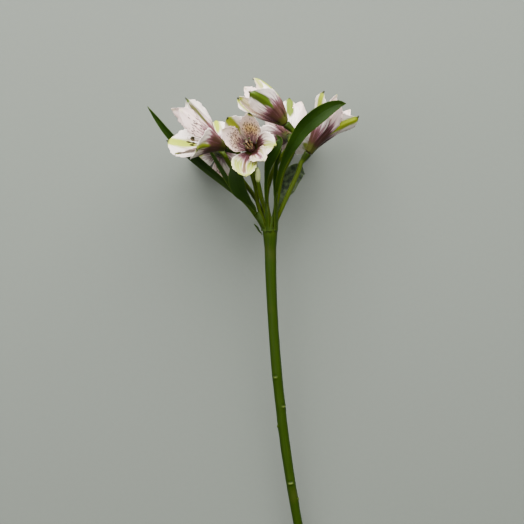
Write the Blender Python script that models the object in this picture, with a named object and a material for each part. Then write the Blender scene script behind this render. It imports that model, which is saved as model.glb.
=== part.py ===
"""A cut alstroemeria: one stem with its umbel of six open blooms, a bud and a whorl of leaves, lying down.

The stem runs along Y with the blooms at +Y, and +Z is up. The cut end of the stem and the two blooms
at the back touch the surface at Z = 0. Sizes here are millimetres and degrees, and the meshes are metres.
"""

import math
import random
from dataclasses import dataclass

import bmesh
import bpy
import numpy as np

MM = 0.001

# Seat: what touches keeps this much air
SEAT_GAP = 0.3

# Stem
STEM_LINE = ((45.6, -188, 3.02), (27.5, -95, 15.7), (17.5, -20, 25.3), (13, 40, 33), (11.7, 88, 39.2))
STEM_RADII = ((0.0, 3.1), (0.3, 3.15), (0.5, 3.4), (0.8, 3.5), (0.95, 4.0), (0.984, 4.85), (1.0, 5.2))
STEM_SIDES = 12
STEM_ROWS = 26
SCAR_SIZE = (1.5, 0.8, 0.7)
# How far up the stem each leaf scar is, and which way round it faces
SCARS = ((0.13, 40), (0.2, 165), (0.26, 280), (0.33, 15), (0.372, 92), (0.45, 250), (0.516, 175), (0.563, 52),
         (0.637, 115), (0.72, 300))

# Pedicels and ovaries
PEDICEL_RADII = (1.25, 1.65)
OVARY_LENGTH = 7.0
OVARY_RADII = (1.9, 2.3, 2.6, 2.5)
PEDICEL_SIDES = 8
PEDICEL_ROWS = 12

# Tepals
TEPAL_THICKNESS = 0.7
ROOT_HEIGHT = 0.7
TIP_HALF_WIDTH = 0.3
TEPAL_ROWS = 7
# How much of a tepal's width follows a circle round the axis, at root, middle and tip
CURL = (1.0, 0.95, 0.6)
RUFFLE = 0.9

# The solid heart of a bloom, which the tepals grow from
HEART = ((0.3, 2.3), (2.5, 2.7), (5.0, 3.1))
HEART_SIDES = 12

# Stamens
STAMEN_FOOT = 5.5
STAMEN_DISC = (1.3, 0.9)
FILAMENT_RADIUS = 0.4
ANTHER = (0.75, 3.4)
FILAMENT_LENGTH = 23.0

# Leaves
LEAF_THICKNESS = 0.7
LEAF_ROWS = 12
LEAF_COLUMNS = 4


@dataclass
class Tepal:
    """around is how far round the bloom its root stands from the top, and lean its angle from the
    axis at its root, middle and tip. sway is how much further round its tip is, and hook how many
    degrees the tip turns inwards. size and breadth stretch the usual tepal, and roll is how far the
    blade is turned about its midrib."""

    around: float
    lean: tuple
    sway: float = 0
    size: float = 1.0
    breadth: float = 1.0
    hook: float = 15
    roll: float = 0


@dataclass
class Bloom:
    """base is where the tepals meet the ovary, axis the way the bloom faces, and top the side of its
    upper outer tepal. The first three tepals are the outer ones. stalk runs from the stem to just
    before the ovary, and foot is how far out on the stem's top it starts and which way round. spread
    is how far its stamens part, sag how far they bow down, and reach stretches their length."""

    base: tuple
    axis: tuple
    top: tuple
    tepals: tuple
    foot: tuple
    stalk: tuple
    seed: int
    spread: float = 2.8
    sag: float = 2.2
    reach: float = 1.0


BLOOMS = {
    "left": Bloom(
        (-17.3, 140.8, 62), (-0.88, 0.36, 0.3), (0, 1, 0),
        (Tepal(20, (19, 28, 22), -3, 0.98, 0.88, -12, 54), Tepal(112, (35, 43, 74), 3, 0.98, 1.22, -10),
         Tepal(253, (38, 43, 49), 6, 1, 1.25, 5), Tepal(66, (22, 20, 18), -6, 1.06, 1.25, 0),
         Tepal(178, (26, 24, 32), 0, 0.82, 1.1, 0), Tepal(-42, (31, 23, 27), -12, 1.05, 1.05, 0)),
        (3.35, 150), ((3.8, 103, 43.5), (2.2, 115, 48), (-2.5, 129, 55)), 3, 2.2, 5, 0.8),
    "front": Bloom(
        (0, 139.9, 52), (-0.15, 0.15, 0.97), (-0.63, 0.777, 0),
        (Tepal(0, (28, 16, 26), 0, 0.92, 1, 10), Tepal(130, (23, 25, 43), 14, 0.9, 0.9, 10),
         Tepal(233, (25, 34, 44), -17, 0.97, 0.9, 7), Tepal(54, (25, 18, 24), 0, 0.96, 1.12, 5),
         Tepal(175, (20, 23, 45), 3, 0.88, 1, 0), Tepal(-50, (30, 10, 28), 24, 0.87, 1.2, -9)),
        (0, 0), ((6.5, 106, 40.5), (2, 127, 40.5)), 5),
    "top": Bloom(
        (22.2, 156.5, 60), (-0.735, 0.673, 0.087), (0, 0, 1),
        (Tepal(-14, (29, 34, 29), 21, 0.86, 1, 30), Tepal(104, (28, 25, -11), 13, 0.86, 0.85, 25),
         Tepal(-82, (43, 2, -18), -5, 0.9, 0.95, 18), Tepal(56, (22, 18, 10), -12, 0.86, 1, 5),
         Tepal(180, (22, 20, 12), 0, 0.9, 1, 5), Tepal(-50, (25, 12, 8), 8, 0.88, 1.02, 5)),
        (3.35, 50), ((16.4, 106, 45.6), (20, 124, 51), (27, 139, 56)), 8, 1.5),
    "right": Bloom(
        (37.1, 137.9, 48), (0.58, 0.81, 0.06), (0, 0, -1),
        (Tepal(0, (19, 21, 41), 0, 0.95), Tepal(122, (3, 9, 54), -3, 0.97, 0.95, 40, 30),
         Tepal(236, (18, 22, 45), -9, 1, 1.05, 30), Tepal(60, (10, 12, 12), -20, 0.96, 1.05, 0),
         Tepal(178, (14, 16, 20), 8, 0.96, 1, 5), Tepal(-38, (10, 10, 18), -2, 1.04, 1.1, 0)),
        (3.35, 0), ((22, 106.5, 44), (30, 124, 46.5)), 13, 1.2, -2.5, 0.95),
    "back_left": Bloom(
        (-22, 140, 39.55), (-0.06, 0.1, -0.97), (0.1, 1, 0),
        (Tepal(8, (30, 22, 26), 2, 0.94, 1, 10), Tepal(112, (28, 21, 31), 0, 0.95, 1, 10),
         Tepal(236, (28, 26, 36), 0, 0.92, 1, 10), Tepal(54, (25, 19, 27), -4, 1, 1, 5),
         Tepal(190, (25, 32, 44), 14, 1.02, 1.05, 5), Tepal(-62, (26, 19, 25), 4, 0.95, 1, 5)),
        (3.35, 205), ((2, 108, 38), (-13.5, 128, 46), (-18.5, 136, 50)), 21),
    "back_right": Bloom(
        (25.2, 148.8, 42.18), (0, 0.3, -0.954), (0.105, 0.995, 0),
        (Tepal(4, (25, 20, 28), 2, 0.95, 0.75, 10), Tepal(120, (26, 33, 45), 2),
         Tepal(240, (28, 29, 39), -17, 1, 1.05, 25), Tepal(66, (24, 22, 30), 13, 1, 1, 5),
         Tepal(184, (25, 28, 42), -4, 0.88, 1, 5), Tepal(-40, (25, 22, 24), 17, 0.98, 1.1, 5)),
        (3.35, 290), ((9.5, 106, 36), (11, 118, 40), (16, 131, 45), (23.5, 141, 50.5)), 34),
}

# The bud: the route of its stalk, and where it sits
BUD_FOOT = (3.35, 104)
BUD_STALK = ((8, 100, 44.5), (4.5, 111, 50.5))
BUD_BASE = (3.7, 118.5, 53)
BUD_AXIS = (-0.03, 0.97, 0.24)
BUD_LENGTH = 10.0
BUD_RADIUS = 1.9


@dataclass
class Leaf:
    """foot is where the leaf starts round the collar, line where its midrib runs after that, and
    facing the way its upper face looks at foot, middle and tip. It is foot_width of its full width
    up to stalk, and all of it at widest. fold is how much the halves rise from the midrib. The foot
    is ring from the stem's axis and down below its top, and lies against it for clasp."""

    foot: float
    line: tuple
    facing: tuple
    half_width: float
    foot_width: float
    stalk: float
    widest: float
    fold: float
    ring: float = 5.9
    down: float = 1.5
    clasp: float = 2.5


LEAVES = {
    "leaf_long_left": Leaf(
        205, ((-1.8, 103.6, 37.5), (-15.9, 115.7, 38), (-31.4, 128.5, 39), (-47.4, 142.4, 39.5),
              (-57, 152, 40.5), (-70.5, 169.5, 44)),
        ((1, -0.3, 0.2), (-0.5, -0.5, 1), (-0.5, -0.3, 1)), 3.9, 0.42, 0.1, 0.75, 0.25),
    "leaf_broad_left": Leaf(
        141, ((1, 101.5, 46), (-3.7, 106.6, 48.5), (-8.6, 113, 51), (-10.5, 119.8, 53), (-11.3, 126.4, 53.5),
              (-13.3, 133.2, 52)),
        ((0.6, -0.4, -1), (-0.5, -0.3, 1), (-0.6, -0.2, 1)), 8.0, 0.235, 0.28, 0.8, 0.2),
    "leaf_narrow_left": Leaf(
        174, ((-2, 101.8, 42), (-10.8, 111.5, 43.5), (-16.3, 119.3, 45), (-22, 128.8, 46),
              (-27.1, 137.4, 46.5), (-32.4, 145.4, 47)),
        ((1, -0.2, 0.6), (-0.6, 0.4, 1), (-0.3, 0.6, 1)), 1.8, 0.65, 0.1, 0.5, 0.3),
    "leaf_front_right": Leaf(
        46, ((15.9, 104.5, 51), (17.6, 120.5, 59), (21.8, 133.5, 65), (26.8, 142.6, 69), (33.2, 152.3, 72),
             (40.3, 158.9, 74), (48.8, 164.9, 74), (56.1, 168.4, 72), (61.5, 169.3, 69)),
        ((-0.5, -0.3, -1), (0.3, -0.4, 1), (-0.1, -0.2, 1)), 8.6, 0.2, 0.33, 0.95, 0.25),
    "leaf_back_right": Leaf(
        318, ((16.8, 101.1, 33), (19.2, 111.3, 31.5), (23.3, 119.5, 30), (28.1, 125, 28.5), (32.2, 127.8, 26),
              (35.7, 125.3, 21)),
        ((-0.6, -0.3, 1), (0.2, -0.5, 1), (0.3, 0.6, 0.6)), 8.2, 0.22, 0.25, 0.62, 0.25),
    "leaf_centre": Leaf(
        107, ((9, 105, 50), (9.1, 119.8, 54), (11, 130.8, 59), (15.5, 139.2, 62), (18.2, 145.8, 62),
              (15.6, 149.3, 59)),
        ((0.1, -0.3, -1), (0.5, -0.3, 1), (-0.3, -0.4, 1)), 4.2, 0.32, 0.5, 0.78, 0.35),
    "collar_bract": Leaf(
        176, ((4.3, 86.2, 38.9), (3, 88.5, 39.2), (1, 90.8, 39.5)),
        ((1, -0.3, 0.2), (0.8, 0.6, 0.5), (0.4, 0.6, 1)), 1.1, 0.9, 0.1, 0.3, 0.1, 5.55, 4.5, 0.8),
    "leaf_bract": Leaf(
        82, ((14.8, 104.5, 48.4), (15, 119.9, 52), (15.6, 129.1, 55), (17.6, 135.6, 56.5), (19.6, 140.5, 57)),
        ((-0.2, -0.3, -1), (0.5, -0.3, 1), (0.3, -0.4, 1)), 2.0, 0.45, 0.35, 0.75, 0.35),
}


def unit(vector):
    vector = np.asarray(vector, float)
    return vector / np.linalg.norm(vector)


def ease(low, high, x):
    """0 below low, 1 above high, and a smooth rise between them."""
    t = np.clip((x - low) / (high - low), 0, 1)
    return t * t * (3 - 2 * t)


def bend(three, t):
    """A smooth run from the first value past the second to the third."""
    first, second, third = (np.asarray(value, float) for value in three)
    return (1 - t) ** 2 * first + 2 * t * (1 - t) * second + t ** 2 * third


def frame_of(axis, up):
    """Rows x, y and z of the frame whose z is axis and whose y leans to up."""
    z = unit(axis)
    y = unit(np.asarray(up, float) - z * np.dot(up, z))
    return np.array((np.cross(y, z), y, z))


def curve_through(points, count):
    """count points on a smooth curve through the given ones, evenly spaced by parameter."""
    points = np.asarray(points, float)
    padded = np.vstack((2 * points[0] - points[1], points, 2 * points[-1] - points[-2]))
    made = []
    for at in np.linspace(0, len(points) - 1, count):
        i = min(int(at), len(points) - 2)
        t = at - i
        a, b, c, d = padded[i:i + 4]
        made.append(0.5 * (2 * b + (c - a) * t + (2 * a - 5 * b + 4 * c - d) * t ** 2
                           + (3 * b - a - 3 * c + d) * t ** 3))
    return even_steps(np.array(made), count)


def even_steps(line, count):
    """The line again, with its points the same distance apart."""
    run = np.concatenate(([0], np.cumsum(np.linalg.norm(np.diff(line, axis=0), axis=1))))
    at = np.linspace(0, run[-1], count)
    return np.stack([np.interp(at, run, line[:, k]) for k in range(3)], axis=1)


def directions(line):
    """The unit tangent at each point of a line."""
    return np.array([unit(step) for step in np.gradient(line, axis=0)])


def new_object(name, points, faces):
    """An object of those points, in millimetres, with its faces' shading smooth."""
    mesh = bpy.data.meshes.new(name)
    mesh.from_pydata([tuple(p * MM) for p in points], [], faces)
    mesh.shade_smooth()
    made = bpy.data.objects.new(name, mesh)
    bpy.context.scene.collection.objects.link(made)
    return made


def tube(name, line, radii, sides):
    """A round closed solid along a line, with a radius at each of its points."""
    ways = directions(line)
    across = unit(np.cross(ways[0], (0.3, 0.2, 1)))
    points, faces = [], []
    for centre, way, radius in zip(line, ways, radii):
        across = unit(across - way * np.dot(across, way))
        other = np.cross(way, across)
        for k in range(sides):
            turn = 2 * math.pi * k / sides
            points.append(centre + radius * (math.cos(turn) * across + math.sin(turn) * other))
    for row in range(len(line) - 1):
        for k in range(sides):
            a, b = row * sides + k, row * sides + (k + 1) % sides
            faces.append((a, b, b + sides, a + sides))
    faces.append(tuple(reversed(range(sides))))
    faces.append(tuple(range(len(points) - sides, len(points))))
    return new_object(name, points, faces)


def blade(name, grid, thickness):
    """A closed thin solid on a grid of points, split into the same triangles on both faces."""
    rows, columns = grid.shape[:2]
    faces = []
    for i in range(rows - 1):
        for j in range(columns - 1):
            a = i * columns + j
            b, c, d = a + 1, a + 1 + columns, a + columns
            faces += [(a, b, c), (a, c, d)]
    made = new_object(name, grid.reshape(-1, 3), faces)
    solidify = made.modifiers.new("thickness", "SOLIDIFY")
    solidify.thickness = thickness * MM
    solidify.offset = 0
    return made


def keep_main_shell(mesh):
    """Drops the scraps and the sealed hollows that a union leaves beside its main shell."""
    work = bmesh.new()
    work.from_mesh(mesh)
    left = set(work.faces)
    shells = []
    while left:
        shell, edge = set(), {left.pop()}
        while edge:
            shell |= edge
            links = [link for face in edge for link in face.edges if len(link.link_faces) == 2]
            edge = {face for link in links for face in link.link_faces} - shell
        left -= shell
        shells.append(shell)
    shells.sort(key=len)
    bmesh.ops.delete(work, geom=[face for shell in shells[:-1] for face in shell], context="FACES")
    work.to_mesh(mesh)
    work.free()


def fuse(body, others):
    """Joins the others to body in one union, and removes them."""
    group = bpy.data.collections.new(body.name + "_pieces")
    bpy.context.scene.collection.children.link(group)
    for other in others:
        bpy.context.scene.collection.objects.unlink(other)
        group.objects.link(other)
    union = body.modifiers.new("union", "BOOLEAN")
    union.operation = "UNION"
    union.operand_type = "COLLECTION"
    union.collection = group
    union.solver = "EXACT"
    graph = bpy.context.evaluated_depsgraph_get()
    joined = bpy.data.meshes.new_from_object(body.evaluated_get(graph))
    body.modifiers.clear()
    body.data = joined
    joined.name = body.name
    keep_main_shell(joined)
    for other in list(group.objects):
        bpy.data.objects.remove(other)
    bpy.data.collections.remove(group)
    joined.shade_smooth()
    return body


def material(name, colour, roughness):
    made = bpy.data.materials.new(name)
    made.use_nodes = True
    shader = made.node_tree.nodes["Principled BSDF"]
    shader.inputs["Base Color"].default_value = (*colour, 1)
    shader.inputs["Roughness"].default_value = roughness
    shader.inputs["Metallic"].default_value = 0
    return made


def outer_width(t):
    """An outer tepal's width along it: a claw, a broad blade and a thick point."""
    narrowing = np.clip((t - 0.56) / 0.41, 0, 1)
    return (0.27 + 0.73 * ease(0.02, 0.6, t)) * (1 - narrowing ** 2.3) ** 0.8


def inner_width(t):
    """An inner tepal's width along it: a long claw and a spoon with a point."""
    narrowing = np.clip((t - 0.6) / 0.4, 0, 1)
    return (0.28 + 0.72 * ease(0.1, 0.7, t)) * (1 - narrowing ** 2) ** 0.85


@dataclass
class TepalKind:
    """A usual tepal of one ring of the bloom. root is how far from the axis it starts."""

    length: float
    half_width: float
    root: float
    columns: int
    width_at: object


OUTER = TepalKind(43, 10, 2.3, 4, outer_width)
INNER = TepalKind(42, 7, 1.5, 3, inner_width)


def middle_line(leans, hook, root, length, steps=80):
    """A tepal's midrib as distance from the axis, height and lean, at even steps."""
    t = np.linspace(0, 1, steps + 1)
    lean = np.radians(bend(leans, t) - hook * ease(0.8, 1, t))
    part = length / steps
    middle = (lean[1:] + lean[:-1]) / 2
    out = root + np.concatenate(([0], np.cumsum(np.sin(middle)))) * part
    up = ROOT_HEIGHT + np.concatenate(([0], np.cumsum(np.cos(middle)))) * part
    return t, out, up, lean


def tepal_grid(tepal, kind, draw, rows, columns):
    """Points of one tepal in its bloom's frame: +Z the axis, +Y the top."""
    ts, outs, ups, leans = middle_line(tepal.lean, tepal.hook, kind.root, kind.length * tepal.size)
    phase, twist = draw.uniform(0, 2 * math.pi), draw.uniform(-0.5, 0.5)
    upward = np.array((0, 0, 1))
    grid = np.zeros((rows + 1, columns + 1, 3))
    for i in range(rows + 1):
        t = 1 - (1 - i / rows) ** 1.35
        out, up, lean = (np.interp(t, ts, values) for values in (outs, ups, leans))
        turn = math.radians(tepal.around + tepal.sway * t ** 1.5)
        away = np.array((math.sin(turn), math.cos(turn), 0))
        aside = np.array((math.cos(turn), -math.sin(turn), 0))
        inward = math.sin(lean) * upward - math.cos(lean) * away
        half = max(kind.half_width * tepal.breadth * kind.width_at(t), TIP_HALF_WIDTH)
        curl = bend(CURL, t) / max(out, 4.0)
        roll = math.radians(tepal.roll) * ease(0.1, 0.45, t)
        for j in range(columns + 1):
            v = 2 * j / columns - 1
            angle = v * half * curl
            lift = (1 - math.cos(angle)) / curl
            lift += RUFFLE * v * v * math.sin(phase + 7 * t + 1.5 * v) * ease(0.35, 0.9, t)
            lift += twist * v * half * 0.25 * ease(0.2, 1, t)
            across = math.sin(angle) / curl
            side = across * math.cos(roll) - lift * math.sin(roll)
            lift = across * math.sin(roll) + lift * math.cos(roll)
            grid[i, j] = out * away + up * upward + aside * side + inward * lift
    return grid


def tepals_of(bloom):
    """(name, grid of points in the part's frame) for each of a bloom's six tepals."""
    draw = random.Random(bloom.seed)
    to_part = frame_of(bloom.axis, bloom.top)
    for k, tepal in enumerate(bloom.tepals):
        kind = OUTER if k < 3 else INNER
        yield k, tepal_grid(tepal, kind, draw, TEPAL_ROWS, kind.columns) @ to_part + bloom.base


def make_bloom(name, bloom, finish):
    """The six tepals of a bloom, grown together at its heart."""
    axis = unit(bloom.axis)
    line = np.array([np.asarray(bloom.base) + axis * height for height, _ in HEART])
    heart = tube("bloom_" + name, line, [radius for _, radius in HEART], HEART_SIDES)
    blades = [blade(f"{name}_tepal_{k}", grid, TEPAL_THICKNESS) for k, grid in tepals_of(bloom)]
    fuse(heart, blades).data.materials.append(finish)
    return heart


def make_stamens(name, bloom, finish):
    """Six stamens and the style, grown together on a small disc."""
    to_part = frame_of(bloom.axis, bloom.top)
    draw = random.Random(bloom.seed + 100)
    base = np.asarray(bloom.base, float)

    def placed(points):
        return np.asarray(points, float) @ to_part + base

    radius, height = STAMEN_DISC
    rise = ((0, 0, STAMEN_FOOT), (0, 0, STAMEN_FOOT + height))
    disc = tube("stamens_" + name, placed(rise), (radius, radius), 8)
    rods = []
    for k in range(7):
        style = k == 6
        turn = 2 * math.pi * k / 6
        reach = 0 if style else 0.75
        spread = 0.4 if style else bloom.spread * draw.uniform(0.85, 1.15)
        length = FILAMENT_LENGTH * bloom.reach * (1.1 if style else draw.uniform(0.88, 1.04))
        way = np.array((math.sin(turn), math.cos(turn), 0))
        foot = way * reach + (0, 0, STAMEN_FOOT + height * 0.4)
        middle = way * (reach + spread * 0.4) + (0, -bloom.sag * 0.7, STAMEN_FOOT + length * 0.5)
        end = way * spread + (0, -bloom.sag, STAMEN_FOOT + length)
        line = placed(bend((foot, middle, end), np.linspace(0, 1, 5)[:, None]))
        rods.append(tube(f"{name}_rod_{k}", line, [FILAMENT_RADIUS] * 5, 4))
        if not style:
            tip_way = directions(line)[-1]
            thick, long = ANTHER
            steps = np.array((-0.35, -0.15, 0.3, 0.6))[:, None] * long
            rods.append(tube(f"{name}_anther_{k}", line[-1] + steps * tip_way,
                             [thick * 0.5, thick, thick, thick * 0.35], 5))
    fuse(disc, rods).data.materials.append(finish)
    return disc


def stem_top():
    """The middle of the stem's top face, the way the stem points there, and the frame round it."""
    line = curve_through(STEM_LINE, STEM_ROWS)
    way = unit(line[-1] - line[-2])
    right = unit(np.cross(way, (0, 0, 1)))
    return line[-1], way, right, np.cross(right, way)


def out_from_stem(angle):
    """The way out from the stem's axis at its top: 0 is +X and 90 is up."""
    _, _, right, upward = stem_top()
    turn = math.radians(angle)
    return math.cos(turn) * right + math.sin(turn) * upward


def stalk_line(foot, via, neck, axis, count):
    """A stalk's route from its foot on the stem's top through the via points to a neck, reached
    along axis."""
    centre, way, _, _ = stem_top()
    ring, angle = foot
    start = centre + out_from_stem(angle) * ring + way * SEAT_GAP
    route = curve_through((start + way, start + way * 2, *via, neck - axis * 1.5, neck), count - 1)
    return np.vstack((start, route))


def make_pedicel(name, bloom, finish):
    """A stalk from the stem's top to a bloom, with the ovary at its end."""
    axis = unit(bloom.axis)
    neck = np.asarray(bloom.base, float) - axis * OVARY_LENGTH
    stalk = stalk_line(bloom.foot, bloom.stalk, neck, axis, PEDICEL_ROWS)
    steps = np.array((0.25, 0.6, 0.9, 1.0))
    line = np.vstack((stalk, neck + steps[:, None] * axis * OVARY_LENGTH))
    thin, thick = PEDICEL_RADII
    radii = thin + (thick - thin) * ease(0.1, 0.6, np.linspace(0, 1, PEDICEL_ROWS))
    made = tube("pedicel_" + name, line, [*radii, *OVARY_RADII], PEDICEL_SIDES)
    made.data.materials.append(finish)
    return made


def make_bud(stalk_finish, bud_finish):
    """The small bud at the middle of the umbel, on its own stalk."""
    axis, base = unit(BUD_AXIS), np.asarray(BUD_BASE, float)
    route = stalk_line(BUD_FOOT, BUD_STALK, base - axis * SEAT_GAP, axis, 8)
    stalk = tube("pedicel_bud", route, [1.0] * 7 + [1.3], 8)
    stalk.data.materials.append(stalk_finish)
    steps = np.array((0, 0.2, 0.45, 0.7, 0.88, 1.0))
    line = base + steps[:, None] * axis * BUD_LENGTH
    bud = tube("bud", line, [r * BUD_RADIUS for r in (0.65, 0.95, 1.0, 0.8, 0.5, 0.15)], 8)
    bud.data.materials.append(bud_finish)


def leaf_grid(leaf, rows=LEAF_ROWS, columns=LEAF_COLUMNS):
    """Points of a leaf: it starts flat against the collar and then follows its line."""
    centre, way, _, _ = stem_top()
    out = out_from_stem(leaf.foot)
    foot = centre + out * leaf.ring - way * leaf.down
    line = curve_through((foot, foot + way * leaf.clasp, *leaf.line), rows + 1)
    ways = directions(line)
    grid = np.zeros((rows + 1, columns + 1, 3))
    for i, (point, way) in enumerate(zip(line, ways)):
        t = i / rows
        face = bend(leaf.facing, t)
        face = unit(face) * ease(0.02, 0.2, t) - out * (1 - ease(0.02, 0.2, t))
        side = unit(np.cross(way, face))
        face = np.cross(side, way)
        rise = leaf.foot_width + (1 - leaf.foot_width) * ease(leaf.stalk, leaf.widest, t)
        half = max(leaf.half_width * rise * (1 - t ** 5) ** 0.8, TIP_HALF_WIDTH)
        for j in range(columns + 1):
            v = 2 * j / columns - 1
            grid[i, j] = point + side * v * half + face * leaf.fold * half * (v * v - 0.4)
    return grid


def make_leaves(finish):
    for name, leaf in LEAVES.items():
        blade(name, leaf_grid(leaf), LEAF_THICKNESS).data.materials.append(finish)


def make_stem(finish):
    """The stem, thicker under the umbel, with the scars of the leaves that were stripped off."""
    line = curve_through(STEM_LINE, STEM_ROWS)
    run = np.linspace(0, 1, STEM_ROWS)
    at, radii = zip(*STEM_RADII)
    stem = tube("stem", line, np.interp(run, at, radii), STEM_SIDES)
    ways = directions(line)
    scars = []
    for k, (share, angle) in enumerate(SCARS):
        row = share * (STEM_ROWS - 1)
        centre = np.array([np.interp(row, range(STEM_ROWS), line[:, c]) for c in range(3)])
        way = ways[round(row)]
        right = unit(np.cross(way, (0, 0, 1)))
        turn = math.radians(angle)
        out = math.cos(turn) * right + math.sin(turn) * np.cross(right, way)
        wide, tall, proud = SCAR_SIZE
        radius = np.interp(share, at, radii)
        side = np.cross(way, out)
        middle = centre + out * (radius - 0.5)
        steps = np.linspace(-1, 1, 5)[:, None]
        ridge = middle + steps * side * wide - out * (steps ** 2) * wide * wide / (2 * radius)
        scars.append(tube(f"scar_{k}", ridge, [0.35, tall, tall + 0.1, tall, 0.35], 6))
    fuse(stem, scars).data.materials.append(finish)
    return stem


def main():
    for old in list(bpy.data.objects):
        bpy.data.objects.remove(old)
    green = material("stem_skin", (0.09, 0.16, 0.02), 0.5)
    leaf = material("leaf_blade", (0.035, 0.1, 0.012), 0.45)
    petal = material("tepal", (0.75, 0.58, 0.6), 0.55)
    thread = material("stamen", (0.55, 0.42, 0.3), 0.6)
    pale = material("bud_skin", (0.5, 0.6, 0.28), 0.5)
    make_stem(green)
    for name, bloom in BLOOMS.items():
        make_bloom(name, bloom, petal)
        make_stamens(name, bloom, thread)
        make_pedicel(name, bloom, green)
    make_bud(green, pale)
    make_leaves(leaf)


main()
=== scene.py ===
"""Looks of a cut alstroemeria lying down: six blooms, a bud and a whorl of leaves on one bare stem.

The stem runs along Y with the blooms at +Y, and the camera looks straight down on it. Sizes here are
millimetres and degrees, as in the part's source, and the meshes are metres.
"""

import math
import random
from dataclasses import dataclass

import bpy
import numpy as np
from mathutils import Matrix

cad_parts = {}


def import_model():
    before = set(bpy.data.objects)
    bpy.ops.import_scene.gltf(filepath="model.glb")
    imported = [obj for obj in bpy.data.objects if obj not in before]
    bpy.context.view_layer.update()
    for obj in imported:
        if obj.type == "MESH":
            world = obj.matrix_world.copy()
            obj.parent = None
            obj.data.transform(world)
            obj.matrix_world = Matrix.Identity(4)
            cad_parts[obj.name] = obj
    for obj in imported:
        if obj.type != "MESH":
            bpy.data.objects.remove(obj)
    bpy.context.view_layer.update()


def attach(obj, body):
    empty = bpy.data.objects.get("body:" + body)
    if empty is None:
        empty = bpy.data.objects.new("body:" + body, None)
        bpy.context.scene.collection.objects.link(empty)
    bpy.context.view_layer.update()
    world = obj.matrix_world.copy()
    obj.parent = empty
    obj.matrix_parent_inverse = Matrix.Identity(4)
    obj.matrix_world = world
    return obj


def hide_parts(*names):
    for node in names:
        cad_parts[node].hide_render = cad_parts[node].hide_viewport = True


MM = 0.001

# Stem
STEM_LINE = ((45.6, -188, 3.02), (27.5, -95, 15.7), (17.5, -20, 25.3), (13, 40, 33), (11.7, 88, 39.2))
STEM_RADII = ((0.0, 2.88), (0.3, 3.1), (0.5, 3.4), (0.8, 3.5), (0.95, 4.0), (0.984, 4.8), (1.0, 5.15))
STEM_SIDES = 48
STEM_ROWS = 520
# Where along the stem a leaf was stripped off, which way round its scar faces, and how big it is
SCARS = ((0.13, 40, 1.5), (0.2, 165, 0.8), (0.26, 280, 0.9), (0.33, 15, 0.8), (0.372, 92, 1.0),
         (0.45, 250, 0.9), (0.516, 175, 0.9), (0.563, 52, 0.8), (0.637, 115, 0.8), (0.72, 300, 0.9))
# The fine rings round the collar
RING_SPACING = 1.39626

# Pedicels and ovaries
PEDICEL_RADII = (1.2, 1.6)
# How much thicker a pedicel is at its foot
PEDICEL_FLARE = 0.55
PEDICEL_SIDES = 30
PEDICEL_ROWS = 90
OVARY_LENGTH = 7.0
OVARY_RADII = ((0.0, 1.6), (0.12, 1.75), (0.3, 2.0), (0.55, 2.3), (0.8, 2.55), (0.92, 2.62), (1.0, 2.5))
OVARY_ROWS = 18
OVARY_RIB = 0.11

# Tepals
ROOT_HEIGHT = 0.7
TIP_HALF_WIDTH = 0.3
TEPAL_ROWS = 84
# Rows stand closer towards the tip, by this power
TIP_CROWDING = 1.35
# How much of a tepal's width follows a circle round the axis, at root, middle and tip
CURL = (1.0, 0.95, 0.6)
# How far a margin waves broadly, is crimped in smaller waves and frays, how often along the tepal the last
# two repeat, and how far its midrib stands out at the back
RUFFLE = 0.9
CRIMP = 0.4
CRIMP_WAVES = 4
FRINGE = 0.45
FRINGE_WAVES = 13
KEEL = 0.45
TEPAL_THICKNESS = 0.38
FOOT_THICKENING = 0.3
RIM_THICKNESS = 0.14
NIB_THICKNESS = 0.85
# The strongest mauve flush, and what the claw adds to it, which the finish shows as olive
FULL_MAUVE = 1.1
CLAW_OLIVE = 1.2
# One cell of the dashes, across and along. It holds one dash or none
DASH_CELL = (0.9, 3.6)

# A bloom's solid heart: height and radius
HEART = ((0.1, 2.1), (1.2, 2.35), (2.5, 2.6), (4.2, 2.7), (5.6, 2.2))

# Stamens
STAMEN_FOOT = 5.5
# The disc that they stand on, lower and upper radius, and the ring of their feet on it
STAMEN_DISC = (1.25, 1.1)
STAMEN_RING = 0.75
FILAMENT_RADIUS = 0.36
FILAMENT_LENGTH = 23.0
FILAMENT_ROWS = 25
# An anther's radius and length
ANTHER = (0.75, 3.4)
ANTHER_ROWS = 13
ANTHER_SIDES = 16
# How far the style leans out, and its length next to a filament's
STYLE_SPREAD = 0.4
STYLE_STRETCH = 1.1

# The bud: the route of its stalk, the stalk's radius and flare, where the bud sits, and its outline
BUD_FOOT = (3.35, 104)
BUD_STALK = ((8, 100, 44.5), (4.5, 111, 50.5))
BUD_STALK_RADII = (0.95, 0.35)
BUD_STALK_ROWS = 50
BUD_BASE = (3.7, 118.5, 53)
BUD_AXIS = (-0.03, 0.97, 0.24)
BUD_LENGTH = 10.0
BUD_RADII = ((0.0, 1.14), (0.08, 1.52), (0.2, 1.805), (0.45, 1.9), (0.7, 1.52), (0.88, 0.95), (0.97, 0.532),
             (1.0, 0.285))
BUD_ROWS = 60
BUD_SIDES = 48

# Leaves
LEAF_THICKNESS = 0.42
MIDRIB_GROOVE = 0.16
LEAF_ROWS = 120
LEAF_COLUMNS = 20

# Camera: 1.2 m above the middle of the object, one picture point is 0.67 mm there
VIEW_AT = (6.34, 65.2, 45)
VIEW_HEIGHT = 1200
VIEW_WIDTH = 524 * 0.67
SENSOR = 36

# Each lamp's place, width and power in watts, and the point that they light
LAMPS = {"lamp_key": ((100, 1150, 800), 1900, 112), "lamp_fill": ((-750, 400, 950), 1200, 15)}
LAMP_AIM = (0, 160, 40)
SKY_COLOUR = "#E6E9EC"
SKY_STRENGTH = 0.3
FLOOR_HALF = 3000

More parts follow.
